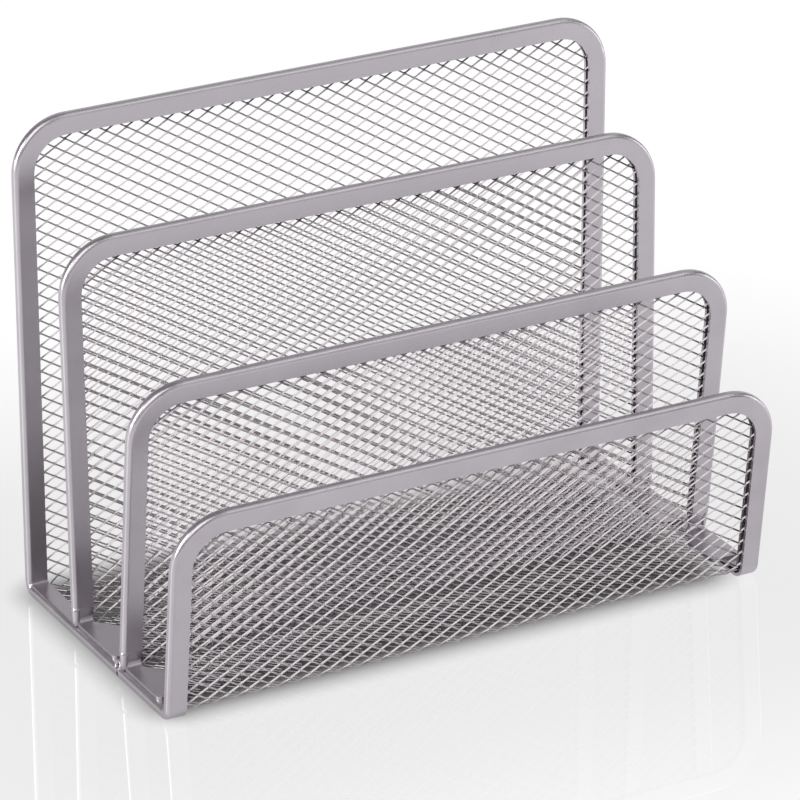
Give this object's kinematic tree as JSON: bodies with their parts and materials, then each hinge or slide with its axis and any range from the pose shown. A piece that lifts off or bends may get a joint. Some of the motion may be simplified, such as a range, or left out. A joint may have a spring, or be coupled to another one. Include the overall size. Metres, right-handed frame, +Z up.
{
  "type": "mail organizer",
  "caption": "Desk letter sorter of expanded steel mesh: stepped panels edged with folded channel, with open slots between them for letters.",
  "frame": {"origin": "centre of the bounding box's underside, on the surface that the sorter stands on", "axes": "+Z up, front panel toward -Y, +X to the right seen from the front"},
  "size_m": [0.175, 0.0916, 0.133],
  "materials": {
    "silver_channel": "silver lacquer on folded steel channel, satin",
    "silver_mesh": "silver lacquer on expanded steel mesh, satin"
  },
  "bodies": {
    "root": {"rear_mesh": "silver_mesh", "rear_fold_mesh": "silver_mesh", "base_mesh": "silver_mesh", "front_fold_mesh": "silver_mesh", "front_mesh": "silver_mesh", "rear_channel": "silver_channel", "base_channel_left": "silver_channel", "base_channel_right": "silver_channel", "front_channel": "silver_channel", "tall_divider_mesh": "silver_mesh", "tall_bend_mesh": "silver_mesh", "tall_flange_mesh": "silver_mesh", "tall_divider_channel": "silver_channel", "short_divider_mesh": "silver_mesh", "short_bend_mesh": "silver_mesh", "short_flange_mesh": "silver_mesh", "short_divider_channel": "silver_channel"}
  },
  "joints": []
}
